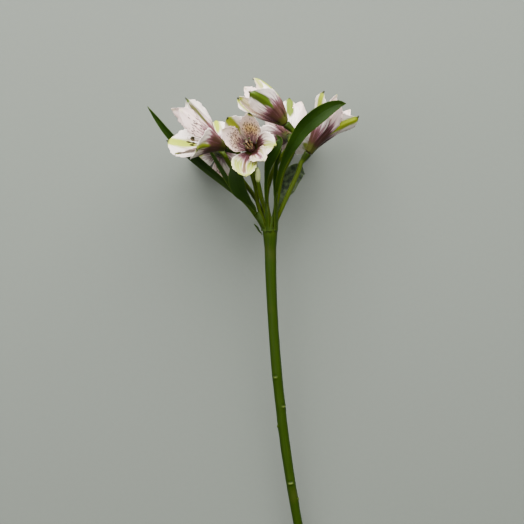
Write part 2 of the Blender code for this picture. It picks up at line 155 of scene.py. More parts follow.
# Colours of the tepals' markings
VEIN_PINK = "#BF9494"
PATCH_YELLOW = "#E0BE5A"
MAUVE = "#845664"
MAUVE_BROWN = "#43261E"
CLAW_GREEN = "#3A3C06"
FRESH_GREEN = "#B4C024"
DEEP_GREEN = "#344C02"
DASH_MAROON = "#2C080C"
NIB_OLIVE = "#262A08"

# Roughness of living skin, where it is glossiest and where it is dullest
SKIN_ROUGHNESS = (0.42, 0.62)
# A wave texture repeats once in this many units at scale 1
WAVE_REPEAT = 0.314


@dataclass
class Tepal:
    """around is how far round the bloom its root stands from the top, and lean its angle from the axis at
    its root, middle and tip. sway is how much further round its tip is, and hook how many degrees the tip
    turns inwards. size and breadth stretch the usual tepal, and roll is how far the blade is turned about its
    midrib."""

    around: float
    lean: tuple
    sway: float = 0
    size: float = 1.0
    breadth: float = 1.0
    hook: float = 15
    roll: float = 0


@dataclass
class Bloom:
    """base is where the tepals meet the ovary, axis the way the bloom faces, and top the side of its upper
    outer tepal. The first three tepals are the outer ones. stalk runs from the stem to just before the ovary,
    and foot is how far out on the stem's top it starts and which way round. spread is how far its stamens
    part, sag how far they bow down, and reach stretches their length."""

    base: tuple
    axis: tuple
    top: tuple
    tepals: tuple
    foot: tuple
    stalk: tuple
    seed: int
    spread: float = 2.8
    sag: float = 2.2
    reach: float = 1.0


BLOOMS = {
    "left": Bloom(
        (-17.3, 140.8, 62), (-0.88, 0.36, 0.3), (0, 1, 0),
        (Tepal(20, (19, 28, 22), -3, 0.98, 0.88, -12, 54), Tepal(112, (35, 43, 74), 3, 0.98, 1.22, -10),
         Tepal(253, (38, 43, 49), 6, 1, 1.25, 5), Tepal(66, (22, 20, 18), -6, 1.06, 1.25, 0),
         Tepal(178, (26, 24, 32), 0, 0.82, 1.1, 0), Tepal(-42, (31, 23, 27), -12, 1.05, 1.05, 0)),
        (3.35, 150), ((3.8, 103, 43.5), (2.2, 115, 48), (-2.5, 129, 55)), 3, 2.2, 5, 0.8),
    "front": Bloom(
        (0, 139.9, 52), (-0.15, 0.15, 0.97), (-0.63, 0.777, 0),
        (Tepal(0, (28, 16, 26), 0, 0.92, 1, 10), Tepal(130, (23, 25, 43), 14, 0.9, 0.9, 10),
         Tepal(233, (25, 34, 44), -17, 0.97, 0.9, 7), Tepal(54, (25, 18, 24), 0, 0.96, 1.12, 5),
         Tepal(175, (20, 23, 45), 3, 0.88, 1, 0), Tepal(-50, (30, 10, 28), 24, 0.87, 1.2, -9)),
        (0, 0), ((6.5, 106, 40.5), (2, 127, 40.5)), 5),
    "top": Bloom(
        (22.2, 156.5, 60), (-0.735, 0.673, 0.087), (0, 0, 1),
        (Tepal(-14, (29, 34, 29), 21, 0.86, 1, 30), Tepal(104, (28, 25, -11), 13, 0.86, 0.85, 25),
         Tepal(-82, (43, 2, -18), -5, 0.893, 0.95, 18), Tepal(56, (22, 18, 10), -12, 0.86, 1, 5),
         Tepal(180, (22, 20, 12), 0, 0.9, 1, 5), Tepal(-50, (25, 12, 8), 8, 0.88, 1.02, 5)),
        (3.35, 50), ((16.4, 106, 45.6), (20, 124, 51), (27, 139, 56)), 8, 1.5),
    "right": Bloom(
        (37.1, 137.9, 48), (0.58, 0.81, 0.06), (0, 0, -1),
        (Tepal(0, (19, 21, 41), 0, 0.95), Tepal(122, (3, 9, 54), -3, 0.97, 0.95, 40, 30),
         Tepal(236, (18, 22, 45), -9, 1, 1.05, 30), Tepal(60, (10, 12, 12), -20, 0.96, 1.05, 0),
         Tepal(178, (14, 16, 20), 8, 0.96, 1, 5), Tepal(-38, (10, 10, 18), -2, 1.04, 1.1, 0)),
        (3.35, 0), ((22, 106.5, 44), (30, 124, 46.5)), 13, 1.2, -2.5, 0.95),
    "back_left": Bloom(
        (-22, 140, 39.55), (-0.06, 0.1, -0.97), (0.1, 1, 0),
        (Tepal(8, (30, 22, 26), 2, 0.94, 1, 10), Tepal(112, (28, 21, 31), 0, 0.95, 1, 10),
         Tepal(236, (28, 26, 36), 0, 0.92, 1, 10), Tepal(54, (25, 19, 27), -4, 1, 1, 5),
         Tepal(190, (25, 32, 44), 14, 1.02, 1.05, 5), Tepal(-62, (26, 19, 25), 4, 0.95, 1, 5)),
        (3.35, 205), ((2, 108, 38), (-13.5, 128, 46), (-18.5, 136, 50)), 21),
    "back_right": Bloom(
        (25.2, 148.8, 42.18), (0, 0.3, -0.954), (0.105, 0.995, 0),
        (Tepal(4, (25, 20, 28), 2, 0.95, 0.75, 10), Tepal(120, (26, 33, 45), 2),
         Tepal(240, (28, 29, 39), -17, 1, 1.05, 25), Tepal(66, (24, 22, 30), 13, 1, 1, 5),
         Tepal(184, (25, 28, 42), -4, 0.88, 1, 5), Tepal(-40, (25, 22, 24), 17, 0.98, 1.1, 5)),
        (3.35, 290), ((9.5, 106, 36), (11, 118, 40), (16, 131, 45), (23.5, 141, 50.5)), 34),
}


@dataclass
class Marks:
    """How strong a tepal's markings are: the green stripe on its back, how deep a green it is and how much of
    it shows through inside, the mauve flush from its base and its line along the middle, the maroon dashes,
    the yellow patch under them, the dark horny nib, and a green tone over the blade, on lower tepals also
    painted shade."""

    stripe: float = 0.0
    deep: float = 0.3
    through: float = 0.45
    mauve: float = 0.7
    middle: float = 0.0
    dashes: float = 0.0
    yellow: float = 0.0
    nib: float = 1.0
    green_and_painted_shade: float = 0.0


OUTER_MARKS = Marks(stripe=0.8)
UPPER_INNER_MARKS = Marks(stripe=0.15, mauve=0.6, dashes=0.75, yellow=0.5, nib=0)
LOWER_INNER_MARKS = Marks(stripe=0.2, mauve=0.6, dashes=0.15, nib=0)
# Tepals whose markings differ from the usual ones. On the lower tepals, which bend down away from the light,
# the green tone is partly painted shade, and so is some of their stronger mauve
MARKS = {
    ("left", 0): Marks(stripe=0.55, deep=0.95, mauve=0.95, middle=0.9),
    ("left", 1): Marks(stripe=1.0, deep=0.6, mauve=1.7),
    ("left", 2): Marks(stripe=1.15, deep=0.2, through=1.0, mauve=0.5),
    ("left", 3): Marks(stripe=0.1, mauve=1.2, dashes=0.8, yellow=0.2, nib=0),
    ("left", 4): Marks(deep=0.5, mauve=0.8, nib=0, green_and_painted_shade=0.3),
    ("front", 0): Marks(stripe=1.1, deep=0.35, through=1.0, mauve=0.5),
    ("front", 1): Marks(stripe=0.6, deep=0.2, through=0.8, mauve=1.35, middle=0.4, green_and_painted_shade=0.2),
    ("front", 2): Marks(stripe=0.1, deep=0.5, through=1.0, mauve=0.95, middle=0.95, nib=0.5, green_and_painted_shade=0.72),
    ("front", 3): Marks(stripe=0.1, mauve=0.65, dashes=1.0, yellow=0.9),
    ("front", 4): Marks(deep=0.5, mauve=1.45, middle=0.8, nib=0, green_and_painted_shade=0.5),
    ("front", 5): Marks(stripe=0.1, mauve=0.7, dashes=1.05, yellow=0.3, nib=0),
    ("top", 0): Marks(stripe=1.25, deep=0.95, mauve=1.45),
    ("top", 1): Marks(stripe=1.0, deep=0.4, mauve=1.1, green_and_painted_shade=0.2),
    ("top", 2): Marks(stripe=0.8, deep=0.35, mauve=1.3, green_and_painted_shade=0.2),
    ("top", 3): Marks(stripe=0.3, mauve=0.8, nib=0.4, green_and_painted_shade=0.2),
    ("top", 4): Marks(mauve=0.8, nib=0),
    ("top", 5): Marks(stripe=0.4, mauve=0.9, nib=0, green_and_painted_shade=0.2),
    ("right", 0): Marks(stripe=0.9, deep=0.4, mauve=1.2),
    ("right", 1): Marks(stripe=1.1, deep=0.45, mauve=1.25),
    ("right", 2): Marks(stripe=1.0, deep=0.4, mauve=1.2),
    ("right", 3): Marks(mauve=1.9, nib=0),
    ("right", 4): Marks(stripe=0.25, deep=0.7, mauve=2.6, nib=0),
    ("right", 5): Marks(stripe=0.7, mauve=1.2, nib=0),
    ("back_right", 0): Marks(stripe=1.05, deep=0.85, mauve=0.3),
    ("back_right", 1): Marks(stripe=0.5, mauve=1.0),
    ("back_right", 2): Marks(stripe=0.9, deep=0.35, mauve=0.15),
    ("back_right", 3): Marks(stripe=0.1, mauve=1.1, dashes=0.2, nib=0),
    ("back_right", 5): Marks(mauve=0.3, nib=0),
    ("back_left", 4): Marks(stripe=0.2, mauve=0.6, dashes=0.6, nib=0),
}


@dataclass
class Leaf:
    """foot is where the leaf starts round the collar, line where its midrib runs after that, and facing the
    way its upper face looks at foot, middle and tip. It is foot_width of its full width up to stalk, and all
    of it at widest. fold is how much the halves rise from the midrib. The foot is ring from the stem's axis
    and down below its top, and lies against it for clasp. gloss is 0 where the face that looks out is the
    dull one."""

    foot: float
    line: tuple
    facing: tuple
    half_width: float
    foot_width: float
    stalk: float
    widest: float
    fold: float
    ring: float = 5.9
    down: float = 1.5
    clasp: float = 2.5
    gloss: float = 1.0


LEAVES = {
    "leaf_long_left": Leaf(
        205, ((-1.8, 103.6, 37.5), (-15.9, 115.7, 38), (-31.4, 128.5, 39), (-47.4, 142.4, 39.5),
              (-57, 152, 40.5), (-70.5, 169.5, 44)),
        ((1, -0.3, 0.2), (-0.5, -0.5, 1), (-0.5, -0.3, 1)), 3.9, 0.42, 0.1, 0.75, 0.25),
    "leaf_broad_left": Leaf(
        141, ((1, 101.5, 46), (-3.7, 106.6, 48.5), (-8.6, 113, 51), (-10.5, 119.8, 53), (-11.3, 126.4, 53.5),
              (-13.3, 133.2, 52)),
        ((0.6, -0.4, -1), (-0.5, -0.3, 1), (-0.6, -0.2, 1)), 8.0, 0.235, 0.28, 0.8, 0.2),
    "leaf_narrow_left": Leaf(
        174, ((-2, 101.8, 42), (-10.8, 111.5, 43.5), (-16.3, 119.3, 45), (-22, 128.8, 46),
              (-27.1, 137.4, 46.5), (-32.4, 145.4, 47)),
        ((1, -0.2, 0.6), (-0.6, 0.4, 1), (-0.3, 0.6, 1)), 1.8, 0.65, 0.1, 0.5, 0.3),
    "leaf_front_right": Leaf(
        46, ((15.9, 104.5, 51), (17.6, 120.5, 59), (21.8, 133.5, 65), (26.8, 142.6, 69), (33.2, 152.3, 72),
             (40.3, 158.9, 74), (48.8, 164.9, 74), (56.1, 168.4, 72), (61.5, 169.3, 69)),
        ((-0.5, -0.3, -1), (0.3, -0.4, 1), (-0.1, -0.2, 1)), 8.6, 0.2, 0.33, 0.95, 0.25),
    "leaf_back_right": Leaf(
        318, ((16.8, 101.1, 33), (19.2, 111.3, 31.5), (23.3, 119.5, 30), (28.1, 125, 28.5), (32.2, 127.8, 26),
              (35.7, 125.3, 21)),
        ((-0.6, -0.3, 1), (0.2, -0.5, 1), (0.3, 0.6, 0.6)), 8.2, 0.22, 0.25, 0.62, 0.25, gloss=0.1),
    "leaf_centre": Leaf(
        107, ((9, 105, 50), (9.1, 119.8, 54), (11, 130.8, 59), (15.5, 139.2, 62), (18.2, 145.8, 62),
              (15.6, 149.3, 59)),
        ((0.1, -0.3, -1), (0.5, -0.3, 1), (-0.3, -0.4, 1)), 4.2, 0.32, 0.5, 0.78, 0.35),
    "collar_bract": Leaf(
        176, ((4.3, 86.2, 38.9), (3, 88.5, 39.2), (1, 90.8, 39.5)),
        ((1, -0.3, 0.2), (0.8, 0.6, 0.5), (0.4, 0.6, 1)), 1.1, 0.9, 0.1, 0.3, 0.1, 5.55, 4.5, 0.8),
    "leaf_bract": Leaf(
        82, ((14.8, 104.5, 48.4), (15, 119.9, 52), (15.6, 129.1, 55), (17.6, 135.6, 56.5), (19.6, 140.5, 57)),
        ((-0.2, -0.3, -1), (0.5, -0.3, 1), (0.3, -0.4, 1)), 2.0, 0.45, 0.35, 0.75, 0.35),
}


# Shapes


def unit(vector):
    vector = np.asarray(vector, float)
    return vector / np.linalg.norm(vector)


def ease(low, high, x):
    """0 below low, 1 above high, and a smooth rise between them."""
    t = np.clip((x - low) / (high - low), 0, 1)
    return t * t * (3 - 2 * t)


def hump(x, width):
    """1 where x is 0, falling away on both sides as a bell does."""
    return np.exp(-(x / width) ** 2)


def bend(three, t):
    """A smooth run from the first value past the second to the third."""
    first, second, third = (np.asarray(value, float) for value in three)
    return (1 - t) ** 2 * first + 2 * t * (1 - t) * second + t ** 2 * third


def frame_of(axis, up):
    """Rows x, y and z of the frame whose z is axis and whose y leans to up."""
    z = unit(axis)
    y = unit(np.asarray(up, float) - z * np.dot(up, z))
    return np.array((np.cross(y, z), y, z))


def length_of(line):
    """How far along the line each of its points is."""
    return np.concatenate(([0], np.cumsum(np.linalg.norm(np.diff(line, axis=0), axis=1))))


def even_steps(line, count):
    """The line again, with its points the same distance apart."""
    run = length_of(line)
    at = np.linspace(0, run[-1], count)
    return np.stack([np.interp(at, run, line[:, k]) for k in range(3)], axis=1)


def curve_through(points, count):
    """count points on a smooth curve through the given ones, evenly spaced."""
    points = np.asarray(points, float)
    padded = np.vstack((2 * points[0] - points[1], points, 2 * points[-1] - points[-2]))
    made = []
    for at in np.linspace(0, len(points) - 1, count):
        i = min(int(at), len(points) - 2)
        t = at - i
        a, b, c, d = padded[i:i + 4]
        made.append(0.5 * (2 * b + (c - a) * t + (2 * a - 5 * b + 4 * c - d) * t ** 2
                           + (3 * b - a - 3 * c + d) * t ** 3))
    return even_steps(np.array(made), count)


def directions(line):
    """The unit tangent at each point of a line."""
    return np.array([unit(step) for step in np.gradient(line, axis=0)])


def around(sides):
    """The angles of the corners of a round section."""
    return 2 * math.pi * np.arange(sides) / sides


def ripple(draw, turns, t):
    """An uneven wave between about -1 and 1, of so many turns along t."""
    waves = [np.sin(2 * math.pi * (turns * k * t + draw.random())) for k in (0.61, 1.0, 1.73)]
    return sum(waves) / 2


def layers(*values):
    """Values for a grid's points, its rows, its columns or all of it, put together as vectors."""
    return np.stack(np.broadcast_arrays(*values), axis=-1)


def in_scene(name, data):
    """A new object in the scene, for this mesh, light or camera."""
    made = bpy.data.objects.new(name, data)
    bpy.context.scene.collection.objects.link(made)
    return made


class Shape:
    """Points and faces of one piece. Each point carries a tint and spots, which its finish reads as three
    masks each, and each face corner its run: millimetres across and along."""

    def __init__(self):
        self.points, self.tint, self.spots = [], [], []
        self.faces, self.run, self.worn = [], [], []
        self.count = 0

    def add_points(self, points, tint, spots):
        first = self.count
        points = np.asarray(points, float).reshape(-1, 3)
        self.points.append(points)
        for kept, mark in ((self.tint, tint), (self.spots, spots)):
            kept.append(np.broadcast_to(mark, points.shape) if np.ndim(mark) == 1 else mark.reshape(-1, 3))
        self.count += len(points)
        return first

    def add_face(self, corners, run, finish):
        self.faces.append(corners)
        self.run += run
        self.worn.append(finish)

    def sheet(self, grid, thickness, run, front, back, finish=0):
        """A thin closed blade on a grid, whose front looks along columns x rows. front and back are the tint
        and spots of each side."""
        rows, columns = grid.shape[:2]
        normal = np.cross(np.gradient(grid, axis=1), np.gradient(grid, axis=0))
        normal /= np.maximum(np.linalg.norm(normal, axis=2, keepdims=True), 1e-9)
        half = normal * thickness[..., None] / 2
        first = self.add_points(grid + half, *front)
        second = self.add_points(grid - half, *back)

        def at(i, j):
            return i * columns + j

        for i in range(rows - 1):
            for j in range(columns - 1):
                corners = ((i, j), (i, j + 1), (i + 1, j + 1), (i + 1, j))
                places = [tuple(run[c]) for c in corners]
                self.add_face([first + at(*c) for c in corners], places, finish)
                self.add_face([second + at(*c) for c in reversed(corners)], places[::-1], finish)
        rim = [(0, j) for j in range(columns)] + [(i, columns - 1) for i in range(1, rows)]
        rim += [(rows - 1, j) for j in range(columns - 2, -1, -1)] + [(i, 0) for i in range(rows - 2, 0, -1)]
        for here, there in zip(rim, rim[1:] + rim[:1]):
            corners = [second + at(*here), second + at(*there), first + at(*there), first + at(*here)]
            places = [tuple(run[c]) for c in (here, there, there, here)]
            self.add_face(corners, places, finish)

    def tube(self, line, radii, sides, tint=(0, 0, 0), start=(), end=(), across=None, finish=0):
        """A round closed solid along a line. radii has a radius for each point, or for each point and side.
        start and end close it with rings of (share of the radius, how far out). Sides count round from
        across."""
        line = np.asarray(line, float)
        ways = directions(line)
        radii = np.asarray(radii, float)
        radii = np.repeat(radii[:, None], sides, axis=1) if radii.ndim == 1 else radii
        if across is None:
            across = [unit(np.cross(ways[0], (0.3, 0.2, 1)))]
            for way in ways[1:]:
                across.append(unit(across[-1] - way * np.dot(across[-1], way)))
        turn = around(sides)[:, None]
        along = length_of(line)
        rings = [(0, share, -out) for share, out in reversed(start)]
        rings += [(i, 1, 0) for i in range(len(line))]
        rings += [(len(line) - 1, share, out) for share, out in end]
        points, marks, run = [], [], []
        tint = np.broadcast_to(tint, (len(line), sides, 3))
        for i, share, out in rings:
            circle = np.cos(turn) * across[i] + np.sin(turn) * np.cross(across[i], ways[i])
            points.append(line[i] + ways[i] * out + circle * radii[i][:, None] * share)
            marks.append(tint[i])
            run.append((radii[i].mean(), along[i] + out))
        first = self.add_points(np.vstack(points), np.vstack(marks), (0, 0, 0))
        for row in range(len(rings) - 1):
            for k in range(sides):
                a, b = first + row * sides + k, first + row * sides + (k + 1) % sides
                steps = ((row, k), (row + 1, k), (row + 1, k + 1), (row, k + 1))
                places = [(2 * math.pi * s / sides * run[r][0], run[r][1]) for r, s in steps]
                self.add_face([a, a + sides, b + sides, b], places, finish)
        last = first + (len(rings) - 1) * sides
        self.add_face([first + k for k in range(sides)], [(0.0, run[0][1])] * sides, finish)
        self.add_face([last + k for k in reversed(range(sides))], [(0.0, run[-1][1])] * sides, finish)

    def piece(self, name, finishes, slot, *nodes):
        """Makes the object, which wears these finishes and stands for these nodes."""
        mesh = bpy.data.meshes.new(name)
        mesh.from_pydata(np.vstack(self.points) * MM, [], self.faces)
        mesh.uv_layers.new(name="run").data.foreach_set("uv", np.array(self.run, np.float32).ravel())
        for mark, values in (("tint", self.tint), ("spots", self.spots)):
            made = mesh.attributes.new(mark, "FLOAT_VECTOR", "POINT")
            made.data.foreach_set("vector", np.vstack(values).astype(np.float32).ravel())
        mesh.polygons.foreach_set("material_index", self.worn)
        mesh.shade_smooth()
        for finish in finishes:
            mesh.materials.append(finish)
        made = in_scene(name, mesh)
        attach(made, "root")
        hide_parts(*nodes)


# Tepals


def outer_width(t):
    """An outer tepal's width along it: a claw, a broad blade and a thick point."""
    narrowing = np.clip((t - 0.56) / 0.41, 0, 1)
    return (0.33 + 0.67 * ease(0.02, 0.6, t)) * (1 - narrowing ** 2.3) ** 0.8


def inner_width(t):
    """An inner tepal's width along it: a long claw and a spoon with a point."""
    narrowing = np.clip((t - 0.6) / 0.4, 0, 1)
    return (0.28 + 0.72 * ease(0.1, 0.7, t)) * (1 - narrowing ** 2) ** 0.85


@dataclass
class TepalKind:
    """A usual tepal of one ring of the bloom. root is how far from the axis it starts."""

    length: float
    half_width: float
    root: float
    columns: int
    width_at: object


OUTER = TepalKind(43, 10, 2.3, 24, outer_width)
INNER = TepalKind(42, 7, 1.5, 20, inner_width)


def middle_line(leans, hook, root, length, steps=80):
    """A tepal's midrib as distance from the axis, height and lean, at even steps."""
    t = np.linspace(0, 1, steps + 1)
    lean = np.radians(bend(leans, t) - hook * ease(0.8, 1, t))
    part = length / steps
    middle = (lean[1:] + lean[:-1]) / 2
    out = root + np.concatenate(([0], np.cumsum(np.sin(middle)))) * part
    up = ROOT_HEIGHT + np.concatenate(([0], np.cumsum(np.cos(middle)))) * part
    return t, out, up, lean


def tepal_masks(marks, nib, t, v, far):
    """The tint and spots of a tepal's front and back. t, v and far are as in add_tepal."""
    stripe_half = 0.8 + 2.2 * ease(0.3, 0.72, t)
    stripe = marks.stripe * hump(far, stripe_half) * ease(0.3, 0.6, t)
    tip = (0.4 + 0.6 * marks.nib) * ease(0.84, 0.97, t) * (1 - 0.5 * np.abs(v))
    beside = 1 - 0.8 * marks.middle * hump(far, 2.2)
    # A green-grey tone over the outer blade: partly the tissue's own green, and on the lower tepals partly
    # painted shade
    green_and_painted_shade = marks.green_and_painted_shade * ease(0.2, 0.6, t) * (1 - 0.3 * v ** 2) * beside
    green_back = np.clip(np.maximum(stripe, tip) + green_and_painted_shade, 0, 1)
    green_front = np.clip(np.maximum(marks.through * stripe, tip) + green_and_painted_shade, 0, 1)
    mauve = marks.mauve * (1 - ease(0.15, 0.85, t + 0.12 * np.abs(v)))
    mauve = np.maximum(mauve, marks.middle * hump(far, 2.0) * (1 - ease(0.8, 1, t)))
    mauve = np.minimum(mauve, FULL_MAUVE) + CLAW_OLIVE * (1 - ease(0.03, 0.2, t))
    zone = ease(0.22, 0.36, t) * (1 - ease(0.62, 0.88, t)) * (1 - 0.75 * v ** 4) * marks.dashes
    patch = np.exp(-((t - 0.55) / 0.16) ** 2 - (v / 0.8) ** 4) * marks.yellow
    front = layers(green_front, mauve, nib), layers(zone, patch, marks.deep)
    back = layers(green_back, mauve, nib), layers(0.8 * zone, 0.3 * patch, marks.deep)
    return front, back


def add_tepal(shape, bloom, tepal, kind, marks, draw, fine, finish):
    """One tepal: the solid's form, with a keel, a crimped and frayed margin, and a thick green point. t is
    the share of its length, v the share of its half width, and far the millimetres from its midrib."""
    ts, outs, ups, leans = middle_line(tepal.lean, tepal.hook, kind.root, kind.length * tepal.size)
    phase, twist = draw.uniform(0, 2 * math.pi), draw.uniform(-0.5, 0.5)
    t = (1 - (1 - np.linspace(0, 1, TEPAL_ROWS + 1)) ** TIP_CROWDING)[:, None]
    v = np.linspace(-1, 1, kind.columns + 1)[None, :]
    out, up, lean = (np.interp(t, ts, values) for values in (outs, ups, leans))
    turn = np.radians(tepal.around + tepal.sway * t ** 1.5)
    half = np.maximum(kind.half_width * tepal.breadth * kind.width_at(t), TIP_HALF_WIDTH)
    frayed = ease(0.5, 0.7, t) * (1 - ease(0.9, 0.97, t)) * FRINGE
    fray = np.where(v > 0, ripple(fine, FRINGE_WAVES, t), ripple(fine, FRINGE_WAVES, t)) * frayed
    curl = bend(CURL, t) / np.maximum(out, 4.0)
    far = v * (half + np.abs(v) ** 5 * fray)
    angle = far * curl
    # How far each point stands in from the flat blade: its curl, ruffle, twist, crimp and keel
    lift = (1 - np.cos(angle)) / curl
    lift += RUFFLE * v * v * np.sin(phase + 7 * t + 1.5 * v) * ease(0.35, 0.9, t)
    lift += twist * v * half * 0.25 * ease(0.2, 1, t)
    crimped = ease(0.4, 0.7, t) * (1 - ease(0.92, 1, t))
    lift += CRIMP * v ** 4 * ripple(fine, CRIMP_WAVES, t + 0.06 * v) * crimped
    lift -= KEEL * hump(far, 1.4) * ease(0.15, 0.4, t) * (1 - ease(0.94, 1, t))
    across, roll = np.sin(angle) / curl, np.radians(tepal.roll) * ease(0.1, 0.45, t)
    across, lift = across * np.cos(roll) - lift * np.sin(roll), across * np.sin(roll) + lift * np.cos(roll)
    inwards = out - lift * np.cos(lean)
    grid = layers(inwards * np.sin(turn) + across * np.cos(turn),
                  inwards * np.cos(turn) - across * np.sin(turn), up + lift * np.sin(lean))
    grid = grid @ frame_of(bloom.axis, bloom.top) + bloom.base
    middle = TEPAL_THICKNESS * (1 + 0.9 * hump(far, 1.2)) + FOOT_THICKENING * (1 - ease(0, 0.12, t))
    nib = marks.nib * ease(0.935, 0.975, t)
    thickness = (RIM_THICKNESS + (middle - RIM_THICKNESS) * (1 - v ** 4)) * (1 - nib) + NIB_THICKNESS * nib
    thickness = np.maximum(thickness, RIM_THICKNESS) * (1 - 0.6 * ease(0.98, 1, t))
    run = layers(v * kind.half_width, kind.length * t)
    shape.sheet(grid, thickness, run, *tepal_masks(marks, nib, t, v, far), finish)


def add_bloom(name, bloom, finishes):
    draw, fine = random.Random(bloom.seed), random.Random(bloom.seed + 500)
    shape = Shape()
    heights, radii = zip(*HEART)
    line = np.asarray(bloom.base) + np.outer(heights, unit(bloom.axis))
    shape.tube(line, radii, 24, (0, FULL_MAUVE, 0), start=((0.6, 0.1),), end=((0.7, 0.4), (0.3, 0.5)))
    for k, tepal in enumerate(bloom.tepals):
        kind = OUTER if k < 3 else INNER
        usual = OUTER_MARKS if k < 3 else LOWER_INNER_MARKS if k == 4 else UPPER_INNER_MARKS
        marks = MARKS.get((name, k), usual)
        add_tepal(shape, bloom, tepal, kind, marks, draw, fine, 0 if k < 3 else 1)
    shape.piece(f"tepals_{name}", finishes, "tepal", f"bloom_{name}")


def add_stigma(shape, tip, way, to_part):
    """The three curled lobes at the end of the style."""
    for k in range(3):
        turn = 2 * math.pi * k / 3
        side = to_part.T @ np.array((math.sin(turn), math.cos(turn), 0))
        s = np.linspace(0, 1, 7)[:, None]
        shape.tube(tip + way * s * 1.6 + side * s * s * 0.9, np.linspace(0.3, 0.12, 7), 8, end=((0.5, 0.06),))


def add_anther(shape, tip, way):
    """A grooved spindle of pollen on a filament's end."""
    thick, long = ANTHER
    along = np.linspace(-0.35, 0.6, ANTHER_ROWS)[:, None]
    swell = np.sin(math.pi * np.clip(np.linspace(0, 1, ANTHER_ROWS), 0.06, 0.94)) ** 0.55
    groove = 1 - 0.22 * np.maximum(np.cos(2 * around(ANTHER_SIDES)), 0) ** 3
    shape.tube(tip + along * long * way, thick * swell[:, None] * groove[None, :], ANTHER_SIDES,
               start=((0.5, 0.1),), end=((0.5, 0.1),), finish=1)


def add_stamens(name, bloom, finishes):
    """Six stamens with their anthers, and the style with its three stigma lobes."""
    to_part = frame_of(bloom.axis, bloom.top)
    draw = random.Random(bloom.seed + 100)
    base = np.asarray(bloom.base, float)
    shape = Shape()

    def placed(points):
        return np.asarray(points, float) @ to_part + base

    foot_line = placed(((0, 0, STAMEN_FOOT - 0.4), (0, 0, STAMEN_FOOT + 0.6)))
    shape.tube(foot_line, STAMEN_DISC, 16, start=((0.7, 0.15),), end=((0.7, 0.2),))
    steps = np.linspace(0, 1, FILAMENT_ROWS)
    radii = FILAMENT_RADIUS * (1 - 0.45 * ease(0.3, 1, steps))
    for k in range(7):
        style = k == 6
        turn = 2 * math.pi * k / 6
        reach = 0 if style else STAMEN_RING
        spread = STYLE_SPREAD if style else bloom.spread * draw.uniform(0.85, 1.15)
        length = FILAMENT_LENGTH * bloom.reach * (STYLE_STRETCH if style else draw.uniform(0.88, 1.04))
        way = np.array((math.sin(turn), math.cos(turn), 0))
        foot = way * reach + (0, 0, STAMEN_FOOT + 0.36)
        middle = way * (reach + spread * 0.4) + (0, -bloom.sag * 0.7, STAMEN_FOOT + length * 0.5)
        end = way * spread + (0, -bloom.sag, STAMEN_FOOT + length)
        line = placed(bend((foot, middle, end), steps[:, None]))
        shape.tube(line, radii, 10, end=((0.5, 0.1),))
        tip, tip_way = line[-1], directions(line)[-1]
        if style:
            add_stigma(shape, tip, tip_way, to_part)
        else:
            add_anther(shape, tip, tip_way)
    shape.piece(f"stamen_threads_{name}", finishes, "stamen", f"stamens_{name}")


# Stem, stalks and bud


def stem_top():
    """The middle of the stem's top face, the way the stem points there, and the frame round it."""
    line = curve_through(STEM_LINE, 26)
    way = unit(line[-1] - line[-2])
    right = unit(np.cross(way, (0, 0, 1)))
    return line[-1], way, right, np.cross(right, way)


def out_from_stem(angle):
    """The way out from the stem's axis at its top: 0 is +X and 90 is up."""
    _, _, right, upward = stem_top()
    turn = math.radians(angle)
    return math.cos(turn) * right + math.sin(turn) * upward


def stalk_line(foot, via, neck, axis, count):
    """A stalk's route from its foot in the stem's top through the via points to a neck, where it runs along
    axis. It starts sunk in the stem."""
    centre, way, _, _ = stem_top()
    ring, angle = foot
    start = centre + out_from_stem(angle) * ring
    route = curve_through((start + way * 1.3, start + way * 2.3, *via, neck - axis * 1.5, neck), count - 8)
    return np.vstack([start + way * (1.3 * k / 8 - 1.5 * (1 - k / 8)) for k in range(8)] + [route])


def add_stem(finish):
    """The stem: thicker under the umbel, fluted lengthwise, with the scars of the leaves stripped off it."""
    line = curve_through(STEM_LINE, STEM_ROWS)
    across = np.array([unit(np.cross(way, (0, 0, 1))) for way in directions(line)])
    run = np.linspace(0, 1, STEM_ROWS)[:, None]
    along = length_of(line)[:, None]
    at, sizes = zip(*STEM_RADII)
    radii = np.interp(run, at, sizes)
    turn = around(STEM_SIDES)[None, :]
    draw = random.Random(4)
    broad_flutes = np.cos(7 * turn + 1.5 * ripple(draw, 1.5, run))
    surface = radii + 0.05 * broad_flutes + 0.04 * np.cos(3 * turn + 4 * run) + 0.06 * ripple(draw, 5, run)
    scar_mask, rim_mask = np.zeros_like(surface), np.zeros_like(surface)
    for share, angle, size in SCARS:
        # side and off are millimetres round the stem and along it from the middle of the scar
        side = ((turn - math.radians(angle) + math.pi) % (2 * math.pi) - math.pi) * radii
        off = along - share * along[-1] - 0.12 * side ** 2
        reach = np.exp(-(side / (1.6 * size)) ** 4)
        surface += size * (0.6 * hump(off, 0.75) - 0.2 * hump(off - 1.6, 0.8)) * reach
        surface += size * 0.35 * hump(off, 5) * hump(side, 4)
        scar_mask = np.maximum(scar_mask, 0.75 * hump(off - 0.4, 0.45) * reach * min(size, 1.3))
        rim_mask = np.maximum(rim_mask, hump(off - 1.5, 0.5) * reach)
    tint = layers(np.clip(scar_mask, 0, 1), rim_mask, ease(0.975, 0.998, run))
    shape = Shape()
    shape.tube(line, surface, STEM_SIDES, tint,
               start=((0.94, -0.03), (0.8, -0.1), (0.5, -0.25), (0.15, -0.3)),
               end=((0.93, 0.25), (0.75, 0.5), (0.4, 0.7), (0.1, 0.75)), across=across)
    shape.piece("stem_stalk", [finish], "stem_skin", "stem")


